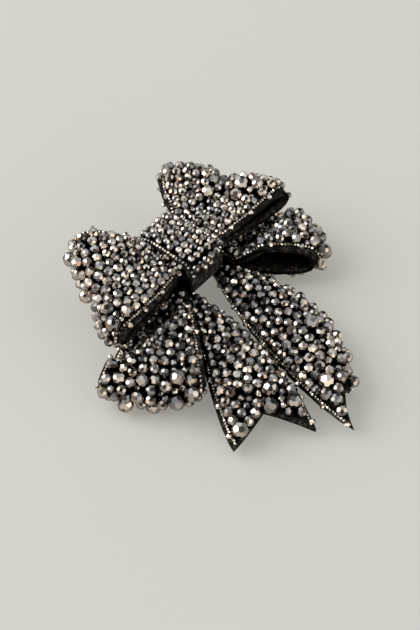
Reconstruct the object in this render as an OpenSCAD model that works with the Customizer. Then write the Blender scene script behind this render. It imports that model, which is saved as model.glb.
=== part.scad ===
// Beaded double-bow brooch: four folded felt loops, two swallow-tail ends, a knot band and a bar pin.
// Millimetres. X runs across the bow, the tails hang towards -Y, the beaded front faces +Z.
// The brooch lies on its back: the lowest beads touch z = 0.

/* [Felt and beads] */
// Thickness of one felt layer
felt_t = 1.1; // [0.8:0.1:1.2]
// Depth of the bead field at the outer ends of the loops
bead_t = 3.6; // [2.6:0.1:3.8]
// Depth of the bead field beside the knot
bead_t_knot = 2.4; // [2:0.1:2.6]
// Radius of the seed-bead trim
seed_r = 0.5; // [0.3:0.05:0.55]

/* [Upper loops] */
// Lower outer corner of the upper left loop
upper_left_low = [-49, -14, 21.8]; // [-60:0.5:40]
// Upper outer corner of the upper left loop
upper_left_high = [-23.5, 29.5, 26.5]; // [-60:0.5:40]
// Lower outer corner of the upper right loop
upper_right_low = [50, -13, 23]; // [-60:0.5:60]
// Upper outer corner of the upper right loop
upper_right_high = [23, 32, 23]; // [-60:0.5:60]
// Half of the gap between an upper loop's two sheets at its lower edge
upper_gap_low = 4; // [3:0.1:5]
// Half of the gap at the upper edge of the upper left loop
upper_left_gap = 8; // [5:0.1:9]
// Half of the gap at the upper edge of the upper right loop
upper_right_gap = 6; // [4:0.1:7]

/* [Lower loops] */
// Lower outer corner of the lower left loop
lower_left_low = [-38.5, -46, 10.8]; // [-60:0.5:20]
// Upper outer corner of the lower left loop
lower_left_high = [-62, -14.5, 10.2]; // [-70:0.5:20]
// Lower outer corner of the lower right loop
lower_right_low = [38, -37, 12]; // [-60:0.5:60]
// Upper outer corner of the lower right loop
lower_right_high = [50, -9, 10.8]; // [-60:0.5:60]
// Half of the gap at the lower edge of the lower left loop
lower_left_gap = 5.4; // [4:0.1:6]
// Half of the gap at the lower edge of the lower right loop
lower_right_gap = 7; // [5:0.1:7.5]

/* [Tails] */
// Outer point of the left tail
left_tail_outer = [-49.5, -69.2, 5]; // [-100:0.5:20]
// Inner point of the left tail
left_tail_inner = [-23.5, -86.4, 5]; // [-100:0.5:20]
// Outer point of the right tail
right_tail_outer = [-2.5, -84.5, 5]; // [-100:0.5:20]
// Inner point of the right tail
right_tail_inner = [-14.2, -96.7, 5]; // [-100:0.5:20]
// Depth of the left tail's swallow-tail cut, as a share of the tail's length
left_notch = 0.14; // [0.08:0.01:0.18]
// Depth of the right tail's swallow-tail cut, as a share of the tail's length
right_notch = 0.08; // [0.04:0.01:0.12]

/* [Knot] */
// Half of the knot band's width across the bow
knot_half_w = 9; // [8.8:0.1:10]
// Half of the knot band's length, from its near end to its far end
knot_half_l = 12.5; // [12.2:0.1:13]
// Half of the knot band's height
knot_half_h = 7.7; // [7.5:0.1:8]
// Depth of the bead field on the knot
knot_bead_t = 2.8; // [2.2:0.1:3.2]

/* [Bar pin] */
// Length of the pin's base bar
bar_l = 26.6; // [26.2:0.1:26.6]
// Width of the base bar
bar_w = 5; // [4.8:0.1:6]
// Thickness of the base bar
bar_t = 0.9; // [0.8:0.05:1]
// Radius of the sharp pin
stem_r = 0.5; // [0.4:0.05:0.5]
// Radius of the hinge rivet
rivet_r = 0.6; // [0.5:0.05:0.6]
// Running clearance between turning pieces
clearance = 0.05; // [0.03:0.01:0.08]

/* [Hidden] */

// Middle of the brooch's box, on the table, measured from the knot
box_foot = [-5.6, -32.88, 0.58];
// Heights of the felt seam surface (between lining and facing) where the pieces meet under the knot
upper_z = 22.8;
lower_z = 17;
tail_z = 9.5;
knot_z = 19.9;
knot_y = -1.7;
// Half of the spread between the two sheets of a loop where they are gathered
pinch = 1.45;
// Lowest height of a seam surface over the table, and of the top sheet that lies on it
rest_z = 4.9;
sheet_gap = 2 * felt_t + 0.3;
stack_z = rest_z + sheet_gap;
// Where the loops are gathered inside the knot
root_x = 8.6;
root_y = 9.6;
upper_root_y = 6.5;

// Each loop: root low, root high, outer low, outer high, gap low, gap high, extra gap,
// dimple depth, dimple place, bluntness of the opening at the knot, crease depth, 1 for an upper loop,
// sag of the bottom sheet towards the tails
UPPER_LEFT = [
    [-root_x, -root_y, upper_z], [-root_x, upper_root_y, upper_z], upper_left_low, upper_left_high,
    upper_gap_low, upper_left_gap, 2.5, 4.5, -0.1, 0.7, 2.2, 1, 0
];
UPPER_RIGHT = [
    [root_x, -root_y, upper_z], [root_x, upper_root_y, upper_z], upper_right_low, upper_right_high,
    upper_gap_low, upper_right_gap, 2, 5, -0.1, 0.7, 3, 1, 3.5
];
LOWER_LEFT = [
    [-root_x, -root_y, lower_z], [-root_x, 1, lower_z], lower_left_low, lower_left_high,
    lower_left_gap, 4, 1.5, 0.5, 0, 0.6, 1.2, 0, 0
];
LOWER_RIGHT = [
    [root_x, -root_y, lower_z], [root_x, 1, lower_z], lower_right_low, lower_right_high,
    lower_right_gap, 4, 1, 0.5, 0, 0.45, 1.2, 0, 5
];

// Each tail: Bezier points of its left edge and of its right edge, height of its crown, notch place
// and notch depth
LEFT_TAIL = [
    [[-9, -9.5, tail_z], [-15, -24.5, 9.5], [-40, -50, 7.5], left_tail_outer],
    [[-6, -9.5, tail_z], [-7.5, -33, 10.5], [-7, -60, 9], left_tail_inner], 2.2, 0, left_notch
];
RIGHT_TAIL = [
    [[8.5, -9.5, tail_z], [-5.5, -36, 9.5], [-15.5, -72, 5], right_tail_inner],
    [[10.5, -9.5, tail_z], [24.5, -37, 9], [25, -66, 6.5], right_tail_outer], 5, 0.1, right_notch
];

// How far a loop's outline swells between its corners, and how much its corners are rounded
swell = 3;
corner = 2;
// How quickly a ribbon widens away from the knot, and the share of its reach that the knot holds straight
flare = 0.75;
held = 0.05;
// Bead fields and trims keep this share of the half width from the centre line
bead_v = 0.86;
seed_v = 0.92;
// Grid lines along a loop's half, along a tail and across either, shared by all layers of a ribbon
HALF_STEPS = 11;
TAIL_STEPS = 14;
ACROSS_STEPS = 5;
RING_STEPS = 32;
HALF_U = [for (k = [0:HALF_STEPS]) 0.5 * pow(k / HALF_STEPS, 1.4)];
LOOP_U = concat(HALF_U, [for (k = [HALF_STEPS - 1:-1:0]) 1 - HALF_U[k]]);
TAIL_U = [for (k = [0:TAIL_STEPS]) k / TAIL_STEPS];
ACROSS_V = concat([-1], [for (j = [0:ACROSS_STEPS]) bead_v * (2 * j / ACROSS_STEPS - 1)], [1]);
// Grid lines between which each bead field lies
UPPER_FIELD = [1, 19];
LOWER_FIELD = [3, 18];
TAIL_FIELD = [3, 13];
eps = 0.02;
// Thread that lifts the trim off the felt
trim_lift = 0.2;

function mix(a, b, t) = a * (1 - t) + b * t;
function clamp01(t) = min(1, max(0, t));
function smooth01(t) = let (c = clamp01(t)) c * c * (3 - 2 * c);
function bump(v, centre, width) = exp(-pow((v - centre) / width, 2));
function soft_min(a, b, k = 0.8) = let (h = max(k - abs(a - b), 0) / k) min(a, b) - h * h * k / 4;
function soft_max(a, b, k = 0.8) = -soft_min(-a, -b, k);
function unit(a) = a / norm(a);

// Height of the surface that parts the upper loops from the lower ones
function parting_z(x) = mix(19.9, 12.8, smooth01((abs(x) - 10) / 15));
// Share of the bead field's depth that has to fit beside the parting surface
function bead_share(s) = clamp01((s - 0.12) / 0.15);

// Reach of a loop along its length, from 0 at the knot to 1 at the fold
function reach(u) = pow(max(0, sin(180 * u)), 0.8);
// Reach beyond the stretch that the knot holds
function free_reach(s) = max(0, (s - held) / (1 - held));
// Signed share of the loop's half gap: positive on the top sheet, negative on the bottom sheet
function side_of(u) = let (c = cos(180 * u)) sign(c) * pow(abs(c), 0.6);

function outer_point(loop, v) =
    let (
        w = (v + 1) / 2,
        root = mix(loop[0], loop[1], w),
        out = mix(loop[2], loop[3], w),
        grow = swell * (1 - v * v) - loop[7] * bump(v, loop[8], 0.3) - corner * pow(abs(v), 5)
    )
    out + unit(out - root) * grow;

function loop_xy(loop, u, v) =
    let (
        s = reach(u),
        f = pow(free_reach(s), flare),
        axis = mix(loop[2], loop[3], 0.5) - mix(loop[0], loop[1], 0.5)
    )
    mix(mix(loop[0], loop[1], (v + 1) / 2), outer_point(loop, v), f) + axis * (s - f);

function upper_floor(x, s) = parting_z(x) + 0.2 + felt_t + (bead_t + 0.2) * bead_share(s);
// The upper loops press the lower ones flat where they cover them, and leave them free beyond
function lower_roof(p, s) =
    parting_z(p[0]) - 0.2 - felt_t - (bead_t + 0.2) * bead_share(s)
    + 1.6 * max(0, -16.5 - p[1], abs(p[0]) - 49);

// A point of a loop's seam surface: u runs out along the top sheet and back along the bottom one
function loop_point(loop, u, v) =
    let (
        s = reach(u),
        side = side_of(u),
        p = loop_xy(loop, u, v) - [0, loop[12] * s * (1 - side) / 2, 0],
        gap = mix(loop[4], loop[5], (v + 1) / 2) + loop[6] * (1 - v * v),
        rise = loop[9] + loop[11] * 0.35 * (1 - v),
        fold = loop[10] * bump(v, loop[8], 0.3) * 4 * s * (1 - s) * side,
        z = p[2] + side * (gap * pow(free_reach(s), rise) + pinch * (1 - s)) - fold,
        press = side < 0 ? sheet_gap : 0,
        kept = loop[11] == 1
            ? soft_max(z, upper_floor(p[0], s) + sheet_gap * max(0, side), 1.2)
            : soft_max(soft_min(z, lower_roof(p, s) - press, 2.5), side < 0 ? rest_z : stack_z)
    )
    [p[0], p[1], kept];

function bezier(c, t) =
    c[0] * pow(1 - t, 3) + c[1] * 3 * t * pow(1 - t, 2) + c[2] * 3 * t * t * (1 - t) + c[3] * pow(t, 3);

// A point of a tail's seam surface: u runs from the knot to the cut end, v across
function tail_point(tail, u, v) =
    let (
        to_notch = abs(v - tail[3]) / (v >= tail[3] ? 1 - tail[3] : 1 + tail[3]),
        t = u * (1 - tail[4] * (1 - to_notch)),
        p = mix(bezier(tail[0], t), bezier(tail[1], t), (v + 1) / 2),
        crown = tail[2] * sin(90 * (v + 1)) * sin(180 * min(1, 0.85 * t))
    )
    p + [0, 0, crown];

function is_tail(piece) = len(piece) == 5;
function seam_point(piece, u, v) = is_tail(piece) ? tail_point(piece, u, v) : loop_point(piece, u, v);
// Which way round the surface is drawn, so that its normal faces the beads
function turn(piece) = is_tail(piece) ? 1 : sign(piece[2][0]);

function seam_normal(piece, u, v) =
    let (
        uc = is_tail(piece) ? min(max(u, eps), 1 - eps) : min(max(u, 2 * eps), 1 - 2 * eps),
        along = seam_point(piece, uc + eps, v) - seam_point(piece, uc - eps, v),
        across = seam_point(piece, uc, min(1, v + eps)) - seam_point(piece, uc, max(-1, v - eps))
    )
    unit(cross(along, across)) * turn(piece);

// Depth of the bead field: smaller beads beside the knot, larger ones further out
function bead_depth(piece, u) =
    mix(bead_t_knot, bead_t, clamp01((is_tail(piece) ? u : reach(u)) / 0.5));

// Corner numbers of the small triangles that close a slab made of two point grids
function slab_faces(n, m) =
    let (
        w = m + 1,
        k = (n + 1) * w,
        at = function(i, j) i * w + j
    )
    concat(
        [for (i = [0:n - 1], j = [0:m - 1]) [at(i, j), at(i, j + 1), at(i + 1, j + 1)]],
        [for (i = [0:n - 1], j = [0:m - 1]) [at(i, j), at(i + 1, j + 1), at(i + 1, j)]],
        [for (i = [0:n - 1], j = [0:m - 1]) [k + at(i, j), k + at(i + 1, j + 1), k + at(i, j + 1)]],
        [for (i = [0:n - 1], j = [0:m - 1]) [k + at(i, j), k + at(i + 1, j), k + at(i + 1, j + 1)]],
        [for (i = [0:n - 1]) [at(i, 0), at(i + 1, 0), k + at(i + 1, 0)]],
        [for (i = [0:n - 1]) [at(i, 0), k + at(i + 1, 0), k + at(i, 0)]],
        [for (i = [0:n - 1]) [at(i, m), k + at(i + 1, m), at(i + 1, m)]],
        [for (i = [0:n - 1]) [at(i, m), k + at(i, m), k + at(i + 1, m)]],
        [for (j = [0:m - 1]) [at(0, j), k + at(0, j + 1), at(0, j + 1)]],
        [for (j = [0:m - 1]) [at(0, j), k + at(0, j), k + at(0, j + 1)]],
        [for (j = [0:m - 1]) [at(n, j), at(n, j + 1), k + at(n, j + 1)]],
        [for (j = [0:m - 1]) [at(n, j), k + at(n, j + 1), k + at(n, j)]]
    );

function flipped(faces) = [for (f = faces) [f[2], f[1], f[0]]];

// A layer of a ribbon over the seam surface, from height low up by depth, or by the bead depth if beaded,
// between the grid lines i_from and i_to, and a margin of grid lines in from both edges
module layer(piece, low, depth, i_from = 0, i_to = 2 * HALF_STEPS, margin = 0, beaded = false) {
    along = is_tail(piece) ? TAIL_U : LOOP_U;
    last = min(i_to, len(along) - 1);
    places = [for (i = [i_from:last], j = [margin:len(ACROSS_V) - 1 - margin]) [along[i], ACROSS_V[j]]];
    normals = [for (q = places) seam_normal(piece, q[0], q[1])];
    points = [for (q = places) seam_point(piece, q[0], q[1])];
    bottom = [for (k = [0:len(places) - 1]) points[k] + normals[k] * low];
    top = [for (k = [0:len(places) - 1])
        bottom[k] + normals[k] * (beaded ? bead_depth(piece, places[k][0]) : depth)];
    faces = slab_faces(last - i_from, len(ACROSS_V) - 1 - 2 * margin);
    polyhedron(concat(bottom, top), turn(piece) > 0 ? flipped(faces) : faces, convexity = 6);
}

// A round trim swept along a list of [u, v] places on the seam surface, resting on the facing
module trim(piece, route, r = seed_r, sides = 6) {
    n = len(route);
    points = [for (q = route) seam_point(piece, q[0], q[1])];
    normals = [for (q = route) seam_normal(piece, q[0], q[1])];
    rings = [for (k = [0:n - 1])
        let (
            tangent = unit(points[min(n - 1, k + 1)] - points[max(0, k - 1)]),
            side = unit(cross(tangent, normals[k])),
            centre = points[k] + normals[k] * (felt_t + r + trim_lift)
        )
        for (a = [0:sides - 1])
            centre + r * (cos(360 * a / sides) * side + sin(360 * a / sides) * normals[k])];
    walls = [for (k = [0:n - 2], a = [0:sides - 1])
        let (b = (a + 1) % sides)
        each [
            [k * sides + a, k * sides + b, (k + 1) * sides + b],
            [k * sides + a, (k + 1) * sides + b, (k + 1) * sides + a]
        ]];
    start_cap = [[for (a = [sides - 1:-1:0]) a]];
    end_cap = [[for (a = [0:sides - 1]) (n - 1) * sides + a]];
    polyhedron(rings, concat(walls, start_cap, end_cap), convexity = 6);
}

// Loops: the facing and lining are whole, the beads stop short of the pin on the underside
module loop_facing(loop) {
    color("black")
        layer(loop, 0, felt_t);
}
module loop_lining(loop) {
    color("black")
        layer(loop, -felt_t, felt_t);
}
module loop_beads(loop) {
    field = loop[11] == 1 ? UPPER_FIELD : LOWER_FIELD;
    color("slategray")
        layer(loop, felt_t, 0, field[0], field[1], 1, true);
}
module loop_edging(loop) {
    color("silver")
        for (v = [-seed_v, seed_v])
            trim(loop, [for (i = [2:2 * HALF_STEPS - 4]) [LOOP_U[i], v]]);
}

// Tails: one felt facing over one felt backing
module tail_facing(tail) {
    color("black")
        layer(tail, 0, felt_t);
}
module tail_backing(tail) {
    color("black")
        layer(tail, -felt_t, felt_t);
}
module tail_beads(tail) {
    color("slategray")
        layer(tail, felt_t, 0, TAIL_FIELD[0], TAIL_FIELD[1], 1, true);
}
module tail_edging(tail) {
    u_end = 0.965;
    places = concat([for (i = [TAIL_FIELD[0] + 1:TAIL_FIELD[1]]) TAIL_U[i]], [u_end]);
    color("silver")
        for (v = [-seed_v, seed_v])
            trim(tail, [for (u = places) [u, v]], 0.8 * seed_r);
}

// Knot: a felt band wrapped once around the gathered loops, a flat-sided oval seen along X
oval_power = 0.5;
function oval(a, grow) =
    [
        knot_y + (knot_half_l + grow) * sign(cos(a)) * pow(abs(cos(a)), oval_power),
        knot_z + (knot_half_h + grow) * sign(sin(a)) * pow(abs(sin(a)), oval_power)
    ];

module band(a_from, a_to, low, high, half_w) {
    steps = RING_STEPS;
    closed = a_to - a_from >= 360;
    last = closed ? steps - 1 : steps;
    inner = [for (i = [last:-1:0]) oval(mix(a_from, a_to, i / steps), low)];
    outer = [for (i = [0:last]) oval(mix(a_from, a_to, i / steps), high)];
    rotate([90, 0, 90])
        translate([0, 0, -half_w])
            linear_extrude(2 * half_w)
                if (closed)
                    difference() {
                        polygon(outer);
                        polygon(inner);
                    }
                else
                    polygon(concat(outer, inner));
}

module knot_facing() {
    color("black")
        band(0, 360, 0, felt_t, knot_half_w);
}
module knot_lining() {
    color("black")
        band(0, 360, -felt_t, 0, knot_half_w);
}
module knot_beads() {
    color("slategray")
        band(3, 160, felt_t, felt_t + knot_bead_t, knot_half_w - 1.6);
}
module knot_edging() {
    color("silver")
        for (x = [-1, 1])
            translate([x * (knot_half_w - 1), 0, 0])
                band(3, 160, felt_t, felt_t + 2 * seed_r, seed_r);
}

// Thread wound around the gathered felt inside the knot
module centre_binding() {
    turns = 9;
    half_l = 7.2;
    wrap = 2 * half_l / turns;
    color([0.05, 0.05, 0.05])
        rotate([90, 0, 90])
            for (i = [0:turns - 1])
                translate([0, 0, -half_l + i * wrap])
                    linear_extrude(wrap)
                        polygon([for (a = [0:12:348])
                            let (w = 9.4 - 0.4 * (i % 2), h = 5.2 - 0.4 * (i % 2))
                            [knot_y + w * cos(a), knot_z + h * sin(a)]]);
}

// Bar pin on the back: a felt patch, the bar with its hinge ears and catch, a rivet, the pin and the rotor
patch_top = tail_z - felt_t - 0.1;
patch_bottom = patch_top - 1.7;
patch_l = 33;
patch_w = 13;
patch_r = 3;
pin_y = 1.5;
bar_z = patch_bottom - bar_t;
stem_z = bar_z - 2.7;
hinge_x = -12.2;
bar_from = -14.5;
eye_r = 1.5;
eye_w = 2.8;
ear_t = 0.9;
ear_gap = eye_w + 0.2;
ear_r = 1.6;
neck_to = -9.5;
neck_r = 0.9;
stem_straight_to = 7;
tip_x = 14.6;
tip_r = 0.08;
housing_x = 8.6;
housing_l = 3.6;
housing_r = 2.3;
rotor_r = 1.4;
flange_r = 1.9;
flange_t = 0.8;
slot_w = 1.3;
hole_r = 0.7;
HOLES = [-9, -3, 3];
thread_r = 0.35;

module back_patch() {
    color([0.08, 0.08, 0.08])
        translate([0, pin_y, patch_bottom]) {
            linear_extrude(patch_top - patch_bottom)
                union() {
                    square([patch_l - 2 * patch_r, patch_w], center = true);
                    square([patch_l, patch_w - 2 * patch_r], center = true);
                    for (x = [-1, 1], y = [-1, 1])
                        translate([x * (patch_l / 2 - patch_r), y * (patch_w / 2 - patch_r)])
                            circle(r = patch_r, $fn = 48);
                }
        }
}

module along_y(length) {
    rotate([90, 0, 0])
        translate([0, 0, -length / 2])
            children();
}

module ear() {
    along_y(ear_t)
        difference() {
            union() {
                cylinder(r = ear_r, h = ear_t, $fn = 48);
                translate([-ear_r, 0, 0])
                    cube([2 * ear_r, bar_z - stem_z + bar_t / 2, ear_t]);
            }
            translate([0, 0, -1])
                cylinder(r = rivet_r + 0.01, h = ear_t + 2, $fn = 48);
        }
}

module catch_housing() {
    translate([housing_x, pin_y, stem_z])
        difference() {
            union() {
                rotate([0, 90, 0])
                    cylinder(r = housing_r, h = housing_l, $fn = 64);
                translate([0, -housing_r, 0])
                    cube([housing_l, 2 * housing_r, bar_z - stem_z + bar_t / 2]);
            }
            translate([-1, 0, 0])
                rotate([0, 90, 0])
                    cylinder(r = rotor_r + clearance, h = housing_l + 2, $fn = 64);
            translate([-1, -slot_w / 2, -housing_r - 1])
                cube([housing_l + 2, slot_w, housing_r + 1]);
        }
}

module pin_bar() {
    color("silver") {
        difference() {
            translate([bar_from, pin_y - bar_w / 2, bar_z])
                cube([bar_l, bar_w, bar_t]);
            for (x = HOLES)
                translate([x, pin_y, bar_z - 1])
                    cylinder(r = hole_r, h = bar_t + 2, $fn = 48);
        }
        for (y = [-1, 1])
            translate([hinge_x, pin_y + y * (ear_gap + ear_t) / 2, stem_z])
                ear();
        catch_housing();
    }
}

// Thread staples that hold the bar to the patch through its holes
module pin_stitches() {
    drop = thread_r + 0.02;
    out = bar_w / 2 + thread_r + 0.05;
    color([0.1, 0.1, 0.1])
        for (x = HOLES)
            translate([x, pin_y, 0]) {
                for (y = [0, out])
                    translate([0, y, bar_z - drop])
                        cylinder(r = thread_r, h = patch_bottom - bar_z + drop, $fn = 24);
                translate([0, 0, bar_z - drop])
                    rotate([-90, 0, 0])
                        cylinder(r = thread_r, h = out, $fn = 24);
                for (y = [0, out])
                    translate([0, y, bar_z - drop])
                        sphere(r = thread_r, $fn = 24);
            }
}

module hinge_rivet() {
    span = ear_gap + 2 * ear_t + 0.04;
    color("gray")
        translate([hinge_x, pin_y, stem_z]) {
            along_y(span)
                cylinder(r = rivet_r, h = span, $fn = 48);
            for (y = [-1, 1])
                translate([0, y * (span / 2 + 0.25), 0])
                    along_y(0.5)
                        cylinder(r = rivet_r + 0.45, h = 0.5, $fn = 48);
        }
}

// The sharp pin: an eye on the rivet, a tapered neck, a straight shank and a tapered point
module pin_stem() {
    color("lightsteelblue")
        translate([hinge_x, pin_y, stem_z])
            difference() {
                union() {
                    along_y(eye_w)
                        cylinder(r = eye_r, h = eye_w, $fn = 48);
                    rotate([0, 90, 0])
                        cylinder(r1 = neck_r, r2 = stem_r, h = neck_to - hinge_x, $fn = 48);
                    translate([neck_to - hinge_x, 0, 0])
                        rotate([0, 90, 0])
                            cylinder(r = stem_r, h = stem_straight_to - neck_to, $fn = 48);
                    translate([stem_straight_to - hinge_x, 0, 0])
                        rotate([0, 90, 0])
                            cylinder(r1 = stem_r, r2 = tip_r, h = tip_x - stem_straight_to, $fn = 48);
                }
                along_y(eye_w + 2)
                    cylinder(r = rivet_r + clearance, h = eye_w + 2, $fn = 48);
            }
}

// The safety catch's turning sleeve, with its slot open and its thumb tab to one side
module catch_rotor() {
    body_l = housing_l + 2 * clearance;
    bore_r = stem_r + 0.15;
    color("silver")
        translate([housing_x - clearance, pin_y, stem_z])
            difference() {
                union() {
                    rotate([0, 90, 0])
                        cylinder(r = rotor_r, h = body_l, $fn = 64);
                    for (x = [-flange_t, body_l])
                        translate([x, 0, 0])
                            rotate([0, 90, 0])
                                cylinder(r = flange_r, h = flange_t, $fn = 64);
                    translate([body_l, 0, 0])
                        rotate([10, 0, 0])
                            translate([0, 0, -0.5])
                                cube([flange_t, 3.2, 1]);
                }
                translate([-flange_t - 1, 0, 0])
                    rotate([0, 90, 0])
                        cylinder(r = bore_r, h = body_l + 2 * flange_t + 2, $fn = 48);
                translate([-flange_t - 1, -slot_w / 2, -flange_r - 1])
                    cube([body_l + 2 * flange_t + 2, slot_w, flange_r + 1]);
            }
}

// The whole brooch stands with the middle of its box at the origin and its lowest beads on the table
module placed() {
    translate(-box_foot)
        children();
}

placed() loop_facing(UPPER_LEFT);  // upper_left_facing
placed() loop_lining(UPPER_LEFT);  // upper_left_lining
placed() loop_beads(UPPER_LEFT);  // upper_left_beads
placed() loop_edging(UPPER_LEFT);  // upper_left_edging
placed() loop_facing(UPPER_RIGHT);  // upper_right_facing
placed() loop_lining(UPPER_RIGHT);  // upper_right_lining
placed() loop_beads(UPPER_RIGHT);  // upper_right_beads
placed() loop_edging(UPPER_RIGHT);  // upper_right_edging
placed() loop_facing(LOWER_LEFT);  // lower_left_facing
placed() loop_lining(LOWER_LEFT);  // lower_left_lining
placed() loop_beads(LOWER_LEFT);  // lower_left_beads
placed() loop_edging(LOWER_LEFT);  // lower_left_edging
placed() loop_facing(LOWER_RIGHT);  // lower_right_facing
placed() loop_lining(LOWER_RIGHT);  // lower_right_lining
placed() loop_beads(LOWER_RIGHT);  // lower_right_beads
placed() loop_edging(LOWER_RIGHT);  // lower_right_edging
placed() tail_facing(LEFT_TAIL);  // left_tail_facing
placed() tail_backing(LEFT_TAIL);  // left_tail_backing
placed() tail_beads(LEFT_TAIL);  // left_tail_beads
placed() tail_edging(LEFT_TAIL);  // left_tail_edging
placed() tail_facing(RIGHT_TAIL);  // right_tail_facing
placed() tail_backing(RIGHT_TAIL);  // right_tail_backing
placed() tail_beads(RIGHT_TAIL);  // right_tail_beads
placed() tail_edging(RIGHT_TAIL);  // right_tail_edging
placed() knot_facing();
placed() knot_lining();
placed() knot_beads();
placed() knot_edging();
placed() centre_binding();
placed() back_patch();
placed() pin_bar();
placed() pin_stitches();
placed() hinge_rivet();
placed() pin_stem();
placed() catch_rotor();
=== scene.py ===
"""Looks for the beaded double-bow brooch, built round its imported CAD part.

The felt surfaces are the CAD source's own formulas, sampled finer. Lengths in the formulas are in
millimetres, measured from the knot; to_frame() turns them into the frame's metres.
"""

import math
from collections import namedtuple

import bmesh
import bpy
import numpy as np
from mathutils import Matrix, Vector, noise
from mathutils.bvhtree import BVHTree


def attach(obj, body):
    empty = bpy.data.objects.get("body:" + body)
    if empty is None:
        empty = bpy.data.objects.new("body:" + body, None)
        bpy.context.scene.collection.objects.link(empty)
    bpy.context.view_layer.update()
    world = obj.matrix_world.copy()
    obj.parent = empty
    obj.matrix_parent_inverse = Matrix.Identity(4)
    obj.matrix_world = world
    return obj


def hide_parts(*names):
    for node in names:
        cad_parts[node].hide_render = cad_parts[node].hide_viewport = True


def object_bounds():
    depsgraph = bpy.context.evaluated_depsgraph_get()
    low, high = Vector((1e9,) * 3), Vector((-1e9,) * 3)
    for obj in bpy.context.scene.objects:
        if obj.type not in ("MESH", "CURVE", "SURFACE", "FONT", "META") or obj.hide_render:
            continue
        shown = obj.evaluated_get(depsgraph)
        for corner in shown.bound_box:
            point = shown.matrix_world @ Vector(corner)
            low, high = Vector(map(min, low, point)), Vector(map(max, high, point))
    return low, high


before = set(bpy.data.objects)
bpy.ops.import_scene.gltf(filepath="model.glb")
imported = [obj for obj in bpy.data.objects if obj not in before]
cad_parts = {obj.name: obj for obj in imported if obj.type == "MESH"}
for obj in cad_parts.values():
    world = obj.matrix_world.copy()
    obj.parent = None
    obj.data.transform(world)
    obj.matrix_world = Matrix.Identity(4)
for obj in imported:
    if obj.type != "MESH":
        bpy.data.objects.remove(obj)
cad_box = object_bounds()

rng = np.random.default_rng(11)

# ---- Seam surfaces, as in part.scad ----
BOX_FOOT = np.array([-5.6, -32.88, 0.58])
FELT_T = 1.1
BEAD_T = 3.6
SEED_R = 0.62
UPPER_Z, LOWER_Z, TAIL_Z, KNOT_Z = 22.8, 17, 9.5, 19.9
PINCH = 1.45
REST_Z = 4.9
SHEET_GAP = 2 * FELT_T + 0.3
ROOT_X, ROOT_Y, ROOT_FAR = 8.6, 9.6, 6.5
SWELL, CORNER = 3, 2
FLARE, HELD = 0.75, 0.05
LEFT_NOTCH, RIGHT_NOTCH = 0.14, 0.08
SEED_V = 0.92
EPS = 0.02
KNOT_HALF_W, KNOT_HALF_L, KNOT_HALF_H, KNOT_Y = 9, 12.5, 7.7, -1.7
OVAL_POWER = 0.5


def to_frame(points):
    """Millimetres from the knot to metres in the frame."""
    return (np.asarray(points, float) - BOX_FOOT) / 1000


def mix(a, b, t):
    return a * (1 - t) + b * t


def smooth01(t):
    c = np.clip(t, 0, 1)
    return c * c * (3 - 2 * c)


def bump(v, centre, width):
    return np.exp(-(((v - centre) / width) ** 2))


def soft_min(a, b, k):
    h = np.maximum(k - np.abs(a - b), 0) / k
    return np.minimum(a, b) - h * h * k / 4


def soft_max(a, b, k):
    return -soft_min(-a, -b, k)


def parting_z(x):
    """Height of the face that parts the upper loops from the lower ones and the tails."""
    return mix(19.9, 12.8, smooth01((np.abs(x) - 10) / 15))


class Loop:
    """A folded ribbon: u runs out along the top sheet and back along the bottom one, v across.

    As on every ribbon, the felt reaches out by margin beyond the seam surface's edge at v = -1."""

    u_margin = 2 * EPS

    def __init__(self, root_low, root_high, low, high, gap_low, gap_high, gap_more, dimple,
                 dimple_v, blunt, crease, upper, lean=0, margin=0.7):
        self.root = np.array([root_low, root_high], float)
        self.out = np.array([low, high], float)
        self.gaps = gap_low, gap_high, gap_more
        self.dimple, self.dimple_v, self.blunt, self.crease = dimple, dimple_v, blunt, crease
        self.upper, self.lean, self.margin = upper, lean, margin
        self.turn = math.copysign(1, low[0])

    def reach(self, u):
        return np.maximum(0, np.sin(np.pi * u)) ** 0.8

    def point(self, u, v):
        u, v = np.broadcast_arrays(np.asarray(u, float), np.asarray(v, float))
        s = self.reach(u)
        free = np.maximum(0, (s - HELD) / (1 - HELD))
        c = np.cos(np.pi * u)
        side = np.sign(c) * np.abs(c) ** 0.6
        w = ((v + 1) / 2)[..., None]
        root = mix(self.root[0], self.root[1], w)
        out = mix(self.out[0], self.out[1], w)
        way = out - root
        way /= np.linalg.norm(way, axis=-1, keepdims=True)
        grow = SWELL * (1 - v * v) - self.dimple * bump(v, self.dimple_v, 0.3) \
            - CORNER * np.abs(v) ** 5
        outer = out + way * grow[..., None]
        f = (free ** FLARE)[..., None]
        axis = self.out.mean(0) - self.root.mean(0)
        p = mix(root, outer, f) + axis * (s[..., None] - f)
        p[..., 1] -= self.lean * s * (1 - side) / 2
        gap = mix(self.gaps[0], self.gaps[1], (v + 1) / 2) + self.gaps[2] * (1 - v * v)
        fold = self.crease * bump(v, self.dimple_v, 0.3) * 4 * s * (1 - s) * side
        rise = self.blunt + (0.35 * (1 - v) if self.upper else 0)
        z = p[..., 2] + side * (gap * free ** rise + PINCH * (1 - s)) - fold
        share = np.clip((s - 0.12) / 0.15, 0, 1)
        if self.upper:
            floor = parting_z(p[..., 0]) + 0.2 + FELT_T + (BEAD_T + 0.2) * share
            z = soft_max(z, floor + SHEET_GAP * np.maximum(0, side), 1.2)
        else:
            press = np.where(side < 0, SHEET_GAP, 0)
            roof = parting_z(p[..., 0]) - 0.2 - FELT_T - (BEAD_T + 0.2) * share \
                + 1.6 * np.maximum(0, np.maximum(-16.5 - p[..., 1], np.abs(p[..., 0]) - 49))
            rest = np.where(side < 0, REST_Z, REST_Z + SHEET_GAP)
            z = soft_max(soft_min(z, roof - press, 2.5), rest, 0.8)
        return np.stack([p[..., 0], p[..., 1], z], -1)


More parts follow.
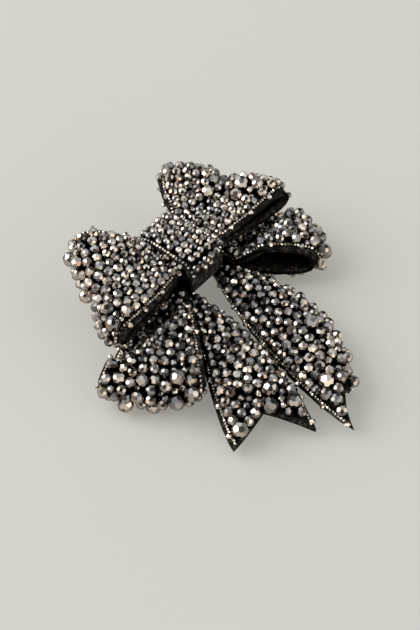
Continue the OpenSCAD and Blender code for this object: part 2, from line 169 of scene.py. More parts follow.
class Tail:
    """A flat ribbon end: u runs from the knot to the swallow-tail cut, v across."""

    turn = 1
    u_margin = EPS

    def __init__(self, left, right, crown, notch_v, notch, margin=0.0):
        self.left, self.right = np.array(left, float), np.array(right, float)
        self.crown, self.notch_v, self.notch, self.margin = crown, notch_v, notch, margin

    def reach(self, u):
        return np.asarray(u, float)

    def point(self, u, v):
        u, v = np.broadcast_arrays(np.asarray(u, float), np.asarray(v, float))
        beyond = np.where(v >= self.notch_v, 1 - self.notch_v, 1 + self.notch_v)
        t = u * (1 - self.notch * (1 - np.abs(v - self.notch_v) / beyond))

        def bezier(c):
            k = t[..., None]
            return c[0] * (1 - k) ** 3 + c[1] * 3 * k * (1 - k) ** 2 \
                + c[2] * 3 * k * k * (1 - k) + c[3] * k ** 3

        p = mix(bezier(self.left), bezier(self.right), ((v + 1) / 2)[..., None])
        p[..., 2] += self.crown * np.sin(np.pi / 2 * (v + 1)) \
            * np.sin(np.pi * np.minimum(1, 0.85 * t))
        return p


class Knot:
    """The band round the gathered loops: u is the angle in turns from its far end, v across."""

    turn = 1
    u_margin = 0
    margin = 0

    def reach(self, u):
        return np.zeros_like(np.asarray(u, float))

    def point(self, u, v):
        u, v = np.broadcast_arrays(np.asarray(u, float), np.asarray(v, float))
        c, s = np.cos(2 * np.pi * u), np.sin(2 * np.pi * u)
        y = KNOT_Y + KNOT_HALF_L * np.sign(c) * np.abs(c) ** OVAL_POWER
        z = KNOT_Z + KNOT_HALF_H * np.sign(s) * np.abs(s) ** OVAL_POWER
        return np.stack([v * KNOT_HALF_W, y, z], -1)

    def normal(self, u, v):
        p = self.point(u, v)
        ny = (p[..., 1] - KNOT_Y) ** 3 / KNOT_HALF_L ** 4
        nz = (p[..., 2] - KNOT_Z) ** 3 / KNOT_HALF_H ** 4
        n = np.stack([np.zeros_like(ny), ny, nz], -1)
        return n / np.linalg.norm(n, axis=-1, keepdims=True)


def ribbon_normal(self, u, v):
    """Unit normal on the beaded side, by the CAD source's own finite differences."""
    u, v = np.broadcast_arrays(np.asarray(u, float), np.asarray(v, float))
    uc = np.clip(u, self.u_margin, 1 - self.u_margin)
    along = self.point(uc + EPS, v) - self.point(uc - EPS, v)
    across = self.point(uc, np.minimum(1, v + EPS)) - self.point(uc, np.maximum(-1, v - EPS))
    n = np.cross(along, across) * self.turn
    return n / np.linalg.norm(n, axis=-1, keepdims=True)


Loop.normal = Tail.normal = ribbon_normal

PIECES = {
    "upper_left": Loop([-ROOT_X, -ROOT_Y, UPPER_Z], [-ROOT_X, ROOT_FAR, UPPER_Z],
                       [-49, -14, 21.8], [-23.5, 29.5, 26.5], 4, 8, 2.5, 4.5, -0.1, 0.7, 2.2, True),
    "upper_right": Loop([ROOT_X, -ROOT_Y, UPPER_Z], [ROOT_X, ROOT_FAR, UPPER_Z],
                        [50, -13, 23], [23, 32, 23], 4, 6, 2, 5, -0.1, 0.7, 3, True, 3.5),
    "lower_left": Loop([-ROOT_X, -ROOT_Y, LOWER_Z], [-ROOT_X, 1, LOWER_Z],
                       [-38.5, -46, 10.8], [-62, -14.5, 10.2], 5.4, 4, 1.5, 0.5, 0, 0.6, 1.2,
                       False),
    "lower_right": Loop([ROOT_X, -ROOT_Y, LOWER_Z], [ROOT_X, 1, LOWER_Z],
                        [38, -37, 12], [50, -9, 10.8], 7, 4, 1, 0.5, 0, 0.45, 1.2, False, 5,
                        1.8),
    "left_tail": Tail([[-9, -9.5, TAIL_Z], [-15, -24.5, 9.5], [-40, -50, 7.5], [-49.5, -69.2, 5]],
                      [[-6, -9.5, TAIL_Z], [-7.5, -33, 10.5], [-7, -60, 9], [-23.5, -86.4, 5]],
                      2.2, 0, LEFT_NOTCH, 1.1),
    "right_tail": Tail([[8.5, -9.5, TAIL_Z], [-5.5, -36, 9.5], [-15.5, -72, 5], [-14.2, -96.7, 5]],
                       [[10.5, -9.5, TAIL_Z], [24.5, -37, 9], [25, -66, 6.5], [-2.5, -84.5, 5]],
                       5, 0.1, RIGHT_NOTCH),
    "knot": Knot(),
}
LOOPS = ("upper_left", "upper_right", "lower_left", "lower_right")
TAILS = ("left_tail", "right_tail")


def steps_along(points):
    """Distances between the neighbours in a line of points."""
    return np.linalg.norm(np.diff(points, axis=0), axis=1)


def lengths_along(points):
    """Distance along a line from its first point to each point."""
    return np.concatenate([[0], np.cumsum(steps_along(points))])


def even_u(ribbon, n, low=0.0, high=1.0):
    """n + 1 values of u at even distances along a ribbon."""
    u = np.linspace(low, high, 1201)
    steps = sum(steps_along(ribbon.point(u, v)) for v in (-0.8, 0, 0.8))
    length = np.concatenate([[0], np.cumsum(steps)])
    return np.interp(np.linspace(0, length[-1], n + 1), length, u)


# ---- Materials ----
class Nodes:
    """Short ways to add nodes to a node tree."""

    def __init__(self, tree):
        self.tree = tree

    def fill(self, node, **inputs):
        """Gives inputs their values, or links the outputs that they come from."""
        for key, value in inputs.items():
            socket = node.inputs[key.replace("_", " ")]
            if isinstance(value, bpy.types.NodeSocket):
                self.tree.links.new(value, socket)
            else:
                socket.default_value = value
        return node

    def node(self, kind, **inputs):
        return self.fill(self.tree.nodes.new(kind), **inputs)

    def noise(self, scale, detail, rough, **more):
        place = self.tree.nodes.new("ShaderNodeTexCoord").outputs["Object"]
        return self.node("ShaderNodeTexNoise", Vector=place, Scale=scale, Detail=detail,
                         Roughness=rough, **more).outputs["Fac"]

    def ramp(self, factor, *stops):
        made = self.node("ShaderNodeValToRGB", Fac=factor)
        band = made.color_ramp
        while len(band.elements) < len(stops):
            band.elements.new(0.5)
        for element, (place, colour) in zip(band.elements, stops):
            element.position = place
            element.color = (*colour, 1)
        return made.outputs["Color"]

    def blend(self, kind, share, below, above):
        """A share of one colour blended over another."""
        made = self.tree.nodes.new("ShaderNodeMix")
        made.data_type = "RGBA"
        made.blend_type = kind
        return self.fill(made, Factor=share, A=below, B=above).outputs["Result"]

    def multiply(self, one, other):
        return self.blend("MULTIPLY", 1.0, one, other)

    def between(self, factor, low, high, start=0.0, end=1.0):
        """A value that goes from low to high as a factor goes from start to end."""
        return self.node("ShaderNodeMapRange", Value=factor, From_Min=start, From_Max=end,
                         To_Min=low, To_Max=high).outputs["Result"]

    def bump(self, height, strength, distance, **normal):
        return self.node("ShaderNodeBump", Height=height, Strength=strength, Distance=distance,
                         **normal).outputs["Normal"]


class Shader(Nodes):
    """A Principled material. Its inputs are named with underscores."""

    def __init__(self, name, **inputs):
        self.material = bpy.data.materials.new(name)
        self.material.use_nodes = True
        super().__init__(self.material.node_tree)
        self.set(**inputs)

    def set(self, **inputs):
        self.fill(self.tree.nodes["Principled BSDF"], **inputs)


# Painted shade: felt is darkened and loses its sheen as deep in a hollow where less than SHUT of the
# room shows within HOLLOW_REACH, and is left as it is where more than OPEN does
HOLLOW_REACH = 0.012
SHUT, OPEN = 0.25, 0.75


def felt_material(name, dark, light, lint):
    """Black felt with painted shade: darker and with less sheen down in the hollows of the loops."""
    shader = Shader(name, Roughness=1.0, Sheen_Roughness=0.6, Sheen_Tint=(0.7, 0.66, 0.6, 1),
                    Specular_IOR_Level=0.05)
    fibres = shader.noise(2600, 5, 0.7, Distortion=1.4)
    matted = shader.noise(520, 3, 0.6)
    both = shader.node("ShaderNodeMath")
    both.operation = "MULTIPLY_ADD"
    shader.tree.links.new(fibres, both.inputs[0])
    both.inputs[1].default_value = 0.7
    shader.tree.links.new(matted, both.inputs[2])
    colour = shader.ramp(both.outputs[0], (0.55, dark), (0.88, light), (1.0, lint))
    # Painted shade: the felt's colour and sheen fall off where little of the room shows nearby
    room = shader.node("ShaderNodeAmbientOcclusion", Distance=HOLLOW_REACH).outputs["AO"]
    depth = shader.ramp(room, (SHUT, (0.01, 0.01, 0.01)), (OPEN, (1, 1, 1)))
    soft = shader.bump(matted, 0.7, 0.0006)
    shader.set(Base_Color=shader.multiply(colour, depth),
               Sheen_Weight=shader.between(room, 0, 0.03, SHUT, OPEN),
               Normal=shader.bump(fibres, 0.9, 0.0003, Normal=soft))
    return shader.material


def bead_material(name):
    """Mirror-coated faceted glass: each facet carries its own share of coating in its colour.

    Facets get painted shade, darker as they turn away from the viewer.
    """
    shader = Shader(name, Metallic=1.0)
    coat = shader.tree.nodes.new("ShaderNodeVertexColor")
    coat.layer_name = "coat"
    film = shader.noise(900, 2, 0.5)
    tint = shader.ramp(film, (0.3, (0.8, 0.8, 0.82)), (0.7, (1, 0.97, 0.93)))
    # Painted shade: each facet's colour darkens by how far it turns away from the viewer
    turned_away = shader.node("ShaderNodeLayerWeight", Blend=0.5).outputs["Facing"]
    shade = shader.ramp(turned_away, (0.1, (1, 1, 1)), (0.5, (0.6, 0.6, 0.6)),
                        (0.85, (0.2, 0.2, 0.2)))
    colour = shader.multiply(coat.outputs["Color"], tint)
    shader.set(Base_Color=shader.multiply(colour, shade), Roughness=shader.between(film, 0.09, 0.24))
    return shader.material


def metal_material(name, colour, low, high, scale):
    """Polished metal whose roughness wanders between low and high."""
    shader = Shader(name, Metallic=1.0)
    grain = shader.noise(scale, 4, 0.6)
    fine = shader.noise(scale * 6, 2, 0.5)
    dim = tuple(0.8 * c for c in colour)
    shader.set(Base_Color=shader.ramp(grain, (0.3, dim), (0.65, colour)),
               Roughness=shader.between(grain, low, high), Normal=shader.bump(fine, 0.12, 0.00005))
    return shader.material


def thread_material(name):
    """Black sewing thread with a fine twist."""
    shader = Shader(name, Roughness=0.7, Sheen_Weight=0.2)
    twist = shader.noise(5200, 2, 0.5, Distortion=2.5)
    colour = shader.ramp(twist, (0.35, (0.006, 0.006, 0.007)), (0.75, (0.035, 0.034, 0.034)))
    shader.set(Base_Color=colour, Normal=shader.bump(twist, 0.6, 0.0001))
    return shader.material


FELT = felt_material("felt_black", (0.001, 0.0009, 0.0008), (0.015, 0.0135, 0.0118),
                     (0.1, 0.088, 0.075))
BEAD = bead_material("bead_coated_glass")
SEED = bead_material("seed_silver_lined")
THREAD = thread_material("thread_black")
NICKEL = metal_material("nickel_plate", (0.66, 0.64, 0.6), 0.16, 0.34, 420)
STEEL = metal_material("pin_steel", (0.58, 0.58, 0.57), 0.2, 0.38, 900)


# ---- Mesh helpers ----
def piece(name, points, faces, material, nodes, smooth=True):
    """A mesh piece from points in millimetres, which rides on the bow in place of CAD nodes."""
    mesh = bpy.data.meshes.new(name)
    mesh.from_pydata(to_frame(points).tolist(), [], faces)
    mesh.validate()
    made = bpy.data.objects.new(name, mesh)
    bpy.context.scene.collection.objects.link(made)
    mesh.materials.append(material)
    mesh.polygons.foreach_set("use_smooth", [smooth] * len(mesh.polygons))
    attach(made, "bow")
    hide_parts(*nodes)
    return made


def smooth_noise(points, scale, seed):
    """Smooth noise between -1 and 1 at points in millimetres, with features of about scale."""
    offset = Vector((seed * 17.3, seed * 5.1, seed * 9.7))
    return np.array([noise.noise(Vector(p) / scale + offset) for p in points.reshape(-1, 3)]) \
        .reshape(points.shape[:-1])


def round_outwards(made):
    """Turns every face of a closed mesh outwards."""
    work = bmesh.new()
    work.from_mesh(made.data)
    bmesh.ops.recalc_face_normals(work, faces=work.faces)
    work.to_mesh(made.data)
    work.free()


def felt_ring(ribbon, p, n, u, low, high, seed, closed):
    """Points round a felt layer's section, at each u: over its top, round one rim and back."""
    lumps = 0.09 * smooth_noise(p, 2.2, seed) + 0.05 * smooth_noise(p, 0.8, seed + 1)
    half = np.full(p.shape[:2], (high - low) / 2)
    half[:, [0, -1]] *= 0.55
    if not closed:
        half[[0, -1], :] *= 0.7
    middle = p + n * ((low + high) / 2)
    top = middle + n * (half + lumps)[..., None]
    bottom = middle - n * (half + 0.05 * smooth_noise(p, 1.7, seed + 2))[..., None]
    across = p[:, [0, -1]] - p[:, [1, -2]]
    across /= np.linalg.norm(across, axis=-1, keepdims=True)
    rag = 0.25 + 0.3 * smooth_noise(p[:, [0, -1]], 1.0, seed + 3)
    rag[:, 0] += ribbon.margin * np.sin(np.pi * np.clip(u, 0, 1)) ** 0.5
    rim = middle[:, [0, -1]] + across * rag[..., None]
    return np.concatenate([top, rim[:, 1:], bottom[:, ::-1], rim[:, :1]], axis=1)


def ring_faces(rows, width, closed):
    """Faces of a felt layer made of rows of rings, each width points over its top."""
    around = 2 * width + 2
    faces = []
    for i in range(rows if closed else rows - 1):
        k = (i + 1) % rows
        for j in range(around):
            m = (j + 1) % around
            faces.append((i * around + j, i * around + m, k * around + m, k * around + j))
    if not closed:
        for i in (0, rows - 1):
            base = i * around
            for j in range(width - 1):
                a, b = base + j, base + j + 1
                c, d = base + 2 * width - j - 1, base + 2 * width - j
                faces.append((a, b, c, d))
            faces.append((base, base + 2 * width, base + around - 1))
            faces.append((base + width - 1, base + width, base + width + 1))
    return faces


def felt_sheet(name, ribbon, nodes, low, high, u, v, seed, closed):
    """One layer of felt over a seam surface, with uneven faces and rounded, slightly ragged edges.

    Returns the surface's points and normals."""
    uu, vv = np.meshgrid(u, v, indexing="ij")
    p, n = ribbon.point(uu, vv), ribbon.normal(uu, vv)
    ring = felt_ring(ribbon, p, n, u, low, high, seed, closed)
    made = piece(name, ring.reshape(-1, 3), ring_faces(*uu.shape, closed), FELT, nodes)
    round_outwards(made)
    return p, n


def tube(path, radius, sides=6):
    """Points and faces of a round tube along a path of points in millimetres."""
    n = len(path)
    tangent = np.roll(path, -1, 0) - np.roll(path, 1, 0)
    tangent[0], tangent[-1] = path[1] - path[0], path[-1] - path[-2]
    tangent /= np.linalg.norm(tangent, axis=1, keepdims=True)
    side = np.cross(tangent[0], [0.31, 0.17, 0.93])
    points = []
    for k in range(n):
        side = side - tangent[k] * (side @ tangent[k])
        side /= np.linalg.norm(side)
        other = np.cross(tangent[k], side)
        for a in range(sides):
            angle = 2 * math.pi * a / sides
            points.append(path[k] + radius * (math.cos(angle) * side + math.sin(angle) * other))
    faces = [tuple(reversed(range(sides))), tuple((n - 1) * sides + a for a in range(sides))]
    for base in range(0, (n - 1) * sides, sides):
        for k in range(sides):
            a, b = base + k, base + (k + 1) % sides
            faces.append((a, b, b + sides, a + sides))
    return points, faces


def join(parts):
    """One set of points and faces from several."""
    points, faces = [], []
    for some, more in parts:
        base = len(points)
        points.extend(some)
        faces.extend(tuple(base + k for k in face) for face in more)
    return np.array(points), faces


# ---- Faceted beads ----
def cut_solid(normals, depths):
    """The convex solid between planes: its corners, and each plane's corners in order."""
    work = bmesh.new()
    for n, d in zip(normals, depths):
        work.verts.new(Vector(n) / d)
    work.verts.index_update()
    bmesh.ops.convex_hull(work, input=work.verts)
    work.verts.index_update()
    corners, wheels = [], [[] for _ in normals]
    for face in work.faces:
        a, b, c = (Vector(normals[v.index]) for v in face.verts)
        da, db, dc = (depths[v.index] for v in face.verts)
        rows = Matrix((a, b, c))
        corners.append(rows.inverted() @ Vector((da, db, dc)))
        for v in face.verts:
            wheels[v.index].append(len(corners) - 1)
    work.free()
    faces = []
    for n, wheel in zip(normals, wheels):
        n = Vector(n)
        side = n.orthogonal().normalized()
        other = n.cross(side)
        wheel.sort(key=lambda k: math.atan2(corners[k] @ other, corners[k] @ side))
        if len(wheel) > 2:
            faces.append(tuple(wheel))
    return np.array([tuple(c) for c in corners]), faces


HOLE_SHARE = 0.17


def drilled(corners, faces):
    """Sinks a hole into the facets at both poles. Returns corners, faces, and which are in a hole."""
    corners, made, inside = [Vector(c) for c in corners], [], []
    for face in faces:
        middle = sum((corners[k] for k in face), Vector()) / len(face)
        if abs(middle.z) < 0.9 * middle.length:
            made.append(face)
            inside.append(False)
            continue
        n = len(face)
        rings = [list(face)]
        for size, sink in ((HOLE_SHARE, 0), (0.8 * HOLE_SHARE, 0.45)):
            rings.append([len(corners) + k for k in range(n)])
            for k in face:
                way = corners[k] - middle
                corners.append(middle * (1 - sink) + way.normalized() * size)
        for level in (0, 1):
            for k in range(n):
                m = (k + 1) % n
                made.append((rings[level][k], rings[level][m], rings[level + 1][m],
                             rings[level + 1][k]))
                inside.append(level == 1)
        made.append(tuple(rings[2]))
        inside.append(True)
    return np.array([tuple(c) for c in corners]), made, np.array(inside)


def bead_cut(around, rows, jitter, seed, hole=True):
    """A round bead of unit radius cut with rows of facets round its hole."""
    draw = np.random.default_rng(seed)
    normals, depths = [], []
    for row, (latitude, share) in enumerate(rows):
        n = max(1, round(around * share))
        for k in range(n):
            turn = 2 * math.pi * (k + 0.5 * (row % 2)) / n + draw.normal(0, jitter)
            lat = math.radians(latitude) + draw.normal(0, jitter)
            normals.append((math.cos(lat) * math.cos(turn), math.cos(lat) * math.sin(turn),
                            math.sin(lat)))
            depths.append(0.95 + draw.normal(0, jitter * 0.15))
    corners, faces = cut_solid(normals, depths)
    return drilled(corners, faces) if hole else (corners, faces, np.zeros(len(faces), bool))


# Latitude of each row of facets, and its share of the facets that go round the bead's middle
FINE_ROWS = [(-90, 0.01), (-60, 0.62), (-30, 1), (0, 1), (30, 1), (60, 0.62), (90, 0.01)]
BROAD_ROWS = [(-90, 0.01), (-55, 0.72), (-19, 1), (19, 1), (55, 0.72), (90, 0.01)]
SEED_ROWS = [(-90, 0.01), (-45, 1), (0, 1), (45, 1), (90, 0.01)]
CUTS = [bead_cut(8, BROAD_ROWS, 0.05, k) for k in range(2)] \
    + [bead_cut(8, FINE_ROWS, 0.04, 10 + k) for k in range(3)] \
    + [bead_cut(9, FINE_ROWS, 0.04, 15 + k) for k in range(2)]
SEED_CUTS = [bead_cut(6, SEED_ROWS, 0.05, 20 + k, False) for k in range(3)]


def turned(axis, spin):
    """Rotation that puts Z along axis, after a turn about Z."""
    z = Vector(axis).normalized()
    x = z.orthogonal().normalized()
    y = z.cross(x)
    base = Matrix((x, y, z)).transposed()
    return np.array(base @ Matrix.Rotation(spin, 3, "Z"))


def bead_mesh(name, beads, cuts, material, nodes, palette, dark_from=0.0, shade=1.0):
    """All beads of one field as one piece. Each bead is (centre, radius, hole direction).

    Beads nearer to the knot than dark_from get a darker coating as painted shade, and shade darkens
    them all as painted shade."""
    points, faces, coats_and_shade = [], [], []
    base = 0
    for centre, radius, axis in beads:
        corners, sides, holes = cuts[rng.integers(len(cuts))]
        spin = turned(axis, rng.uniform(0, 2 * math.pi))
        placed = (corners * radius) @ spin.T + centre
        points.append(placed)
        faces.extend(tuple(base + k for k in side) for side in sides)
        base += len(corners)
        # Painted shade: the coating colour is darkened towards the knot, and all over by shade
        far = math.hypot(centre[0], centre[1])
        lit = smooth01((far - 0.45 * dark_from) / (0.55 * dark_from + 0.01))
        tone = shade * mix(0.45, 1.0, lit)
        coats_and_shade.extend(HOLE_DARK if dark else coat * tone
                     for coat, dark in zip(palette(corners, sides), holes))
    made = piece(name, np.concatenate(points), faces, material, nodes, smooth=False)
    # The coat attribute holds each facet's coating colour with the painted shade multiplied in
    layer = made.data.color_attributes.new("coat", "FLOAT_COLOR", "CORNER")
    sizes = [len(f) for f in faces]
    colours = np.repeat(np.array(coats_and_shade), sizes, axis=0)
    layer.data.foreach_set("color", np.column_stack([colours, np.ones(len(colours))]).ravel())
    return made


STEEL_GREY = np.array([0.5, 0.48, 0.475])
SILVER = np.array([0.92, 0.83, 0.72])
HEMATITE = np.array([0.18, 0.17, 0.17])
BRONZE = np.array([0.75, 0.42, 0.25])
HOLE_DARK = np.array([0.02, 0.02, 0.02])


def coated(corners, sides):
    """Colours of a bead's facets: the coating covers one side and thins out over the other."""
    way = rng.normal(size=3)
    way /= np.linalg.norm(way)
    depth = rng.uniform(0.2, 1.0)
    colours = []
    for side in sides:
        middle = corners[list(side)].mean(0)
        share = np.clip(0.5 + 0.6 * (middle @ way) + rng.normal(0, 0.25), 0, 1)
        colour = mix(STEEL_GREY, SILVER, share)
        colour = mix(colour, HEMATITE, np.clip(depth * (1 - share) * 0.9, 0, 0.75))
        if rng.random() < 0.025:
            colour = mix(colour, BRONZE, rng.uniform(0.3, 0.8))
        colours.append(colour)
    return colours


def lined(corners, sides):
    """Colours of a seed bead's facets: pale, a little warm."""
    tone = rng.uniform(0.7, 1.0)
    warm = mix(np.array([1.0, 0.94, 0.87]), np.array([1.0, 0.86, 0.7]), rng.uniform(0, 1))
    return [warm * tone * rng.uniform(0.8, 1.0) for _ in sides]


class Field:
    """Places beads on the facing of one ribbon, clear of all beads that are already placed.

    Spots are where beads may go that aren't sewn on in rows. give is how far a bead may press into
    another ribbon's felt."""

    radii = (3.0, 2.5, 1.5, 1.15)  # of the beads at spots
    sunk = 0.94  # height of a bead's centre over the felt, in its radii
    probe = 2.1  # radius of the bead whose distance from other ribbons stands for all sizes
    loose = 0.1  # how far the order of the snuggest spots is left to chance
    far = 9.0
    row_pitch = 1.78  # distance between rows, in radii
    stagger = 0.25  # shift of a row to either side, in beads
    settle_steps = 70
    row_squeeze = 0.35

    def __init__(self, ribbon, spots, others, give):
        self.ribbon, self.others, self.give = ribbon, others, give
        self.u, self.v = spots
        self.n = ribbon.normal(self.u, self.v)
        self.p = ribbon.point(self.u, self.v) + self.n * FELT_T
        self.s = ribbon.reach(self.u)
        count = len(self.u)
        self.centres = np.stack([self.p + self.n * (r * self.sunk) for r in self.radii])
        self.near = np.full((2, len(self.radii), count), 6.0)
        self.free = np.ones((len(self.radii), count), bool)
        apart = np.array([self.felt_gap(c) for c in self.p + self.n * (self.probe * self.sunk)])
        for k, r in enumerate(self.radii):
            low = self.centres[k][:, 2] - r
            high = self.centres[k][:, 2] + r
            self.free[k] &= (apart > r - give) & (low > FLOOR_Z) & (high < ROOF_Z)
        self.beads = []

    def felt_gap(self, centre):
        """Distance from a point to the nearest other ribbon, or far if it is over 4 away."""
        return self.others.find_nearest(Vector(centre), 4)[3] or self.far

    def add(self, centre, radius):
        """Notes a bead that is there, for the gaps that it leaves."""
        here = np.nonzero(np.abs(self.p - centre).max(1) < self.far)[0]
        for k, r in enumerate(self.radii):
            gap = np.linalg.norm(self.centres[k][here] - centre, axis=1) - radius - r
            first, second = self.near[0, k, here], self.near[1, k, here]
            closer = gap < first
            self.near[1, k, here] = np.where(closer, first, np.minimum(second, gap))
            self.near[0, k, here] = np.where(closer, gap, first)

    def put(self, centre, room, radius, normal):
        """Puts a bead on the felt, in a round room of its own radius or a little more."""
        self.beads.append((centre, radius, hole_direction(normal)))
        PLACED.append((*centre, room))
        self.add(centre, room)

    def fill(self, radius, squeeze):
        """Puts beads of one size in the snuggest spots, until no spot is left."""
        k = self.radii.index(radius)
        while True:
            spots = np.nonzero(self.free[k] & (self.near[0, k] > -squeeze))[0]
            if not len(spots):
                return
            score = np.minimum(self.near[0, k, spots] + self.near[1, k, spots], self.far)
            i = spots[np.argmin(score + self.loose * rng.random(len(spots)))]
            if clear_of_all(self.centres[k][i], radius, squeeze):
                self.put(self.centres[k][i], radius, radius * rng.uniform(0.96, 1.0), self.n[i])
            else:
                self.free[k, i] = False

    def centre_at(self, u, v, radius):
        return self.ribbon.point(u, v) + self.ribbon.normal(u, v) * (
            FELT_T + np.asarray(radius) * self.sunk)[..., None]

    def row_places(self, style):
        """u, v and radius of beads in staggered rows across the ribbon."""
        u = np.linspace(*style.beads, 800)
        run = lengths_along(self.ribbon.point(u, 0))
        v = np.linspace(-style.v_limit, style.v_limit, 80)
        us, vs, rs = [], [], []
        at, count = 1.0, 0
        while at < run[-1]:
            here = np.interp(at, run, u)
            r = np.interp(float(self.ribbon.reach(here)), SIZE_PLACES, style.sizes)
            across = lengths_along(self.ribbon.point(here, v))
            n = max(1, round(across[-1] / (2 * r) * style.crowd))
            shift = self.stagger if count % 2 else -self.stagger
            for k in range(n):
                us.append(here)
                vs.append(np.interp((k + 0.5 + shift) / n * across[-1], across, v))
                rs.append(r * rng.uniform(0.93, 1.05))
            at += self.row_pitch * r
            count += 1
        return np.array(us), np.array(vs), np.array(rs)

    def placed_near(self, u_range):
        """The beads already placed round this ribbon."""
        still = np.array(PLACED)
        box = self.ribbon.point(*np.meshgrid(np.linspace(*u_range, 40), np.linspace(-1, 1, 9)))
        near = ((still[:, :3] > box.reshape(-1, 3).min(0) - 6)
                & (still[:, :3] < box.reshape(-1, 3).max(0) + 6)).all(1)
        return still[near]

    def sew_rows(self, style):
        """Sews beads on in rows, after letting them push each other into place."""
        us, vs, rs = self.row_places(style)
        us += rng.normal(0, 0.0015, len(us))
        still = self.placed_near(style.beads)
        for _ in range(self.settle_steps):
            c = self.centre_at(us, vs, rs)
            push = np.zeros_like(c)
            for others, radii, share in ((c, rs, 0.5), (still[:, :3], still[:, 3], 1.0)):
                way = c[:, None] - others[None]
                apart = np.linalg.norm(way, axis=-1)
                lack = (rs[:, None] + radii[None]) * 1.01 - apart
                lack[(lack < 0) | (apart < 1e-6)] = 0
                push += (way * (lack * share / np.maximum(apart, 1e-6))[..., None]).sum(1)
            push *= 0.6
            tu = (self.ribbon.point(us + 1e-4, vs) - self.ribbon.point(us - 1e-4, vs)) / 2e-4
            tv = (self.ribbon.point(us, vs + 1e-4) - self.ribbon.point(us, vs - 1e-4)) / 2e-4
            a, b, d = (tu * tu).sum(1), (tu * tv).sum(1), (tv * tv).sum(1)
            e, f = (tu * push).sum(1), (tv * push).sum(1)
            det = np.maximum(a * d - b * b, 1e-9)
            us = np.clip(us + np.clip((d * e - b * f) / det, -0.01, 0.01), *style.beads)
            vs = np.clip(vs + np.clip((a * f - b * e) / det, -0.05, 0.05),
                         -style.v_limit, style.v_limit)
        for k in rng.permutation(len(us)):
            self.sew(us[k], vs[k], rs[k], self.row_squeeze)

    def sew(self, u, v, radius, squeeze):
        """Sews one bead on at u and v, if it fits."""
        n = self.ribbon.normal(u, v)
        centre = self.centre_at(u, v, radius)
        if self.felt_gap(centre) >= radius - self.give \
                and FLOOR_Z < centre[2] - radius < ROOF_Z - 2 * radius \
                and clear_of_all(centre, radius, squeeze):
            self.put(centre, radius, radius, n)

    def scatter(self, radius, number, allowed, apart):
        """Puts up to number beads of one size at random allowed spots, well apart."""
        k = self.radii.index(radius)
        made = []
        spots = np.nonzero(self.free[k] & allowed & (self.near[0, k] > 0))[0]
        for i in rng.permutation(spots):
            centre = self.centres[k][i]
            if len(made) == number:
                break
            if made and np.linalg.norm(np.array(made) - centre, axis=1).min() < apart:
                continue
            if clear_of_all(centre, radius, 0):
                made.append(centre)
                self.put(centre, radius, radius, self.n[i])


# Every bead placed so far, as x, y, z and radius, and the heights that beads stay between
PLACED = []
FLOOR_Z = BOX_FOOT[2] + 0.02
ROOF_Z = BOX_FOOT[2] + 1000 * cad_box[1][2] + 0.6


def clear_of_all(centre, radius, squeeze):
    """Whether a bead would press into no placed bead by more than squeeze."""
    if not PLACED:
        return True
    known = np.array(PLACED)
    gap = np.linalg.norm(known[:, :3] - centre, axis=1) - known[:, 3] - radius
    return bool((gap > -squeeze).all())


def hole_direction(normal, lean=0.35):
    """A direction along the felt, as a sewn bead's hole lies, leaning a little out of it."""
    way = np.cross(normal, rng.normal(size=3))
    way = way / np.linalg.norm(way) + normal * rng.normal(0, lean)
    return way / np.linalg.norm(way)


# ---- Felt ----
surfaces = {}
V_FINE = np.linspace(-1, 1, 41)
LOOP_STEPS, FLAT_STEPS = 110, 72
for index, (name, ribbon) in enumerate(PIECES.items()):
    closed = name == "knot"
    steps = LOOP_STEPS if name in LOOPS else FLAT_STEPS
    u = np.arange(steps) / steps if closed else even_u(ribbon, steps)
    back = "backing" if name in TAILS else "lining"
    surfaces[name] = felt_sheet(f"{name}_felt", ribbon, [f"{name}_facing"], 0, FELT_T, u,
                                V_FINE, 10 * index, closed)
    felt_sheet(f"{name}_{back}_felt", ribbon, [f"{name}_{back}"], -FELT_T, 0, u, V_FINE,
               10 * index + 5, closed)


def felt_tree(skip):
    """A search tree of the felt faces of every ribbon but one."""
    points, faces = [], []
    for name, (p, n) in surfaces.items():
        if name == skip:
            continue
        rows, width = p.shape[:2]
        for height in (-FELT_T, FELT_T):
            base = len(points)
            points.extend((p + n * height).reshape(-1, 3).tolist())
            for i in range(rows - 1):
                for j in range(width - 1):
                    a = base + i * width + j
                    faces.append((a, a + 1, a + width + 1, a + width))
    return BVHTree.FromPolygons(points, faces)


# ---- Seed-bead rows and the bead fields ----
# How the ribbons are beaded: seeds and beads are ranges of u, sizes are the radii in the bead rows at
# the reaches in SIZE_PLACES, crowd is how full a row is, v_limit is how far out the rows go, give is
# how far a bead may press into another ribbon, and fills are the radius and squeeze of the small beads
# in the gaps. dark_from and shade paint shade into the coating's colour: it is darker nearer to the
# knot than dark_from, and darker everywhere by shade.
Style = namedtuple("Style", "seeds beads sizes crowd v_limit give fills dark_from shade")
SIZE_PLACES = 0.1, 0.5, 0.85
LOOP_FILLS = (1.5, 0.3), (1.15, 0.2)
FLAT_FILLS = (1.5, 0.15), (1.15, 0.1)
STYLES = {
    "upper": Style((0.03, 0.93), (0.004, 0.92), (1.55, 1.8, 2.0), 1.06, 0.86, 1.1, LOOP_FILLS, 0, 1),
    "lower": Style((0.05, 0.9), (0.03, 0.88), (1.55, 1.9, 2.15), 1, 0.86, 0.1, LOOP_FILLS, 28, 0.88),
    "tail": Style((0.05, 0.985), (0.08, 0.968), (1.7, 1.95, 2.15), 0.94, 0.86, 0.1, FLAT_FILLS,
                  28, 0.88),
    "knot": Style((0.005, 0.447), (0.01, 0.44), (1.5, 1.5, 1.5), 1, 0.8, 0.1, FLAT_FILLS, 0, 1),
}
# The lower left loop gets a deeper painted shade that reaches farther out from the knot
STYLES["lower_left"] = STYLES["lower"]._replace(dark_from=38, shade=0.79)

